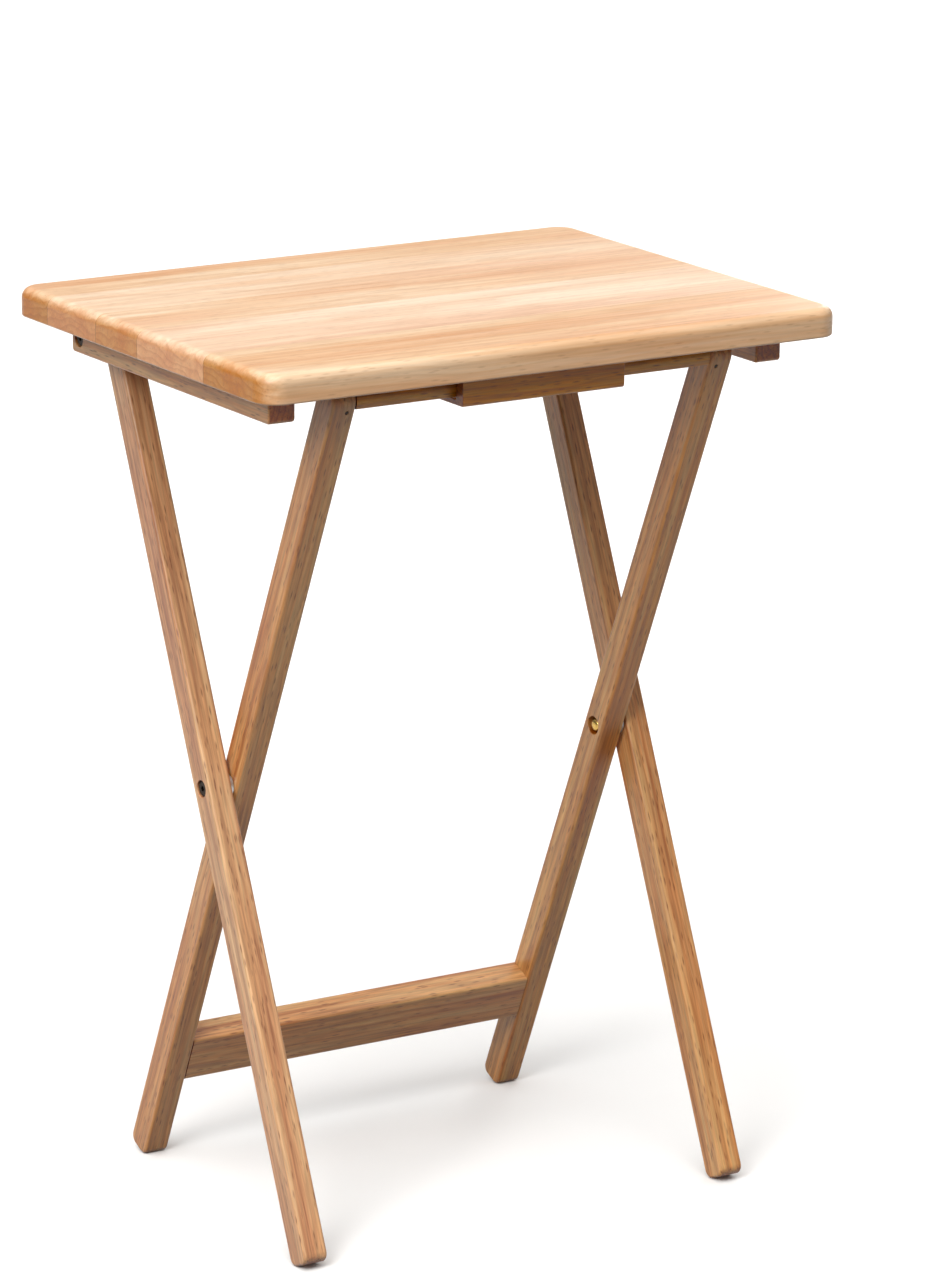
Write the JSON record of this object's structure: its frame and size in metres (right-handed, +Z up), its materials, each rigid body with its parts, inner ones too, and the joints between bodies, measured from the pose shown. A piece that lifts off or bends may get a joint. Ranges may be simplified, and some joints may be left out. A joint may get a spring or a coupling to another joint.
{
  "type": "folding tray table",
  "caption": "Wooden folding tray table: a rounded rectangular top on crossing legs that scissor shut, held open by a crossbar in a latch under the top.",
  "frame": {"origin": "on the floor, under the middle of the tabletop, with the table open", "axes": "+Z up, +X along the long side of the top, -Y towards the latch side, which is the front"},
  "size_m": [0.483, 0.368, 0.67],
  "materials": {
    "top_wood": "satin clear lacquer on edge-glued hardwood staves",
    "frame_wood": "satin clear lacquer on planed hardwood",
    "dowel_wood": "bare beech, glued in",
    "brass": "brass-plated, smooth",
    "dark_steel": "blackened steel",
    "zinc_steel": "zinc-plated steel"
  },
  "bodies": {
    "inner_frame": {"centre_bolt_left": "dark_steel", "centre_bolt_right": "dark_steel", "centre_cap_nut_left": "brass", "centre_cap_nut_right": "brass", "centre_nut_washer_left": "dark_steel", "centre_nut_washer_right": "dark_steel", "centre_spacer_left": "zinc_steel", "centre_spacer_right": "zinc_steel", "crossbar_brad_left": "dark_steel", "crossbar_brad_right": "dark_steel", "crossbar_dowel_left": "dowel_wood", "crossbar_dowel_right": "dowel_wood", "inner_leg_left": "frame_wood", "inner_leg_right": "frame_wood", "lower_stretcher": "frame_wood", "stretcher_dowel_lower_left": "dowel_wood", "stretcher_dowel_lower_right": "dowel_wood", "stretcher_dowel_upper_left": "dowel_wood", "stretcher_dowel_upper_right": "dowel_wood", "upper_crossbar": "frame_wood"},
    "outer_legs": {"outer_leg_left": "frame_wood", "outer_leg_right": "frame_wood", "top_pivot_bolt_left": "dark_steel", "top_pivot_bolt_right": "dark_steel", "top_pivot_insert_left": "brass", "top_pivot_insert_right": "brass", "top_pivot_spacer_left": "zinc_steel", "top_pivot_spacer_right": "zinc_steel"},
    "top": {"cleat_left": "frame_wood", "cleat_right": "frame_wood", "cleat_screw_back_left": "zinc_steel", "cleat_screw_back_right": "zinc_steel", "cleat_screw_front_left": "zinc_steel", "cleat_screw_front_right": "zinc_steel", "cleat_screw_middle_left": "zinc_steel", "cleat_screw_middle_right": "zinc_steel", "latch_block": "frame_wood", "latch_screw_left": "zinc_steel", "latch_screw_right": "zinc_steel", "tabletop": "top_wood"}
  },
  "joints": [
    {"name": "leg_fold", "type": "hinge", "parent": "inner_frame", "child": "outer_legs", "pos_m": [0, -0.0043, 0.325], "axis": [1, 0, 0], "range_deg": [0, 47]},
    {"name": "top_tilt", "type": "hinge", "parent": "outer_legs", "child": "top", "pos_m": [0, 0.13119, 0.6366], "axis": [1, 0, 0], "range_deg": [-23.5, 0]}
  ],
  "couplings": [
    {"joint": "top_tilt", "follows": "leg_fold", "ratio": -0.5}
  ]
}
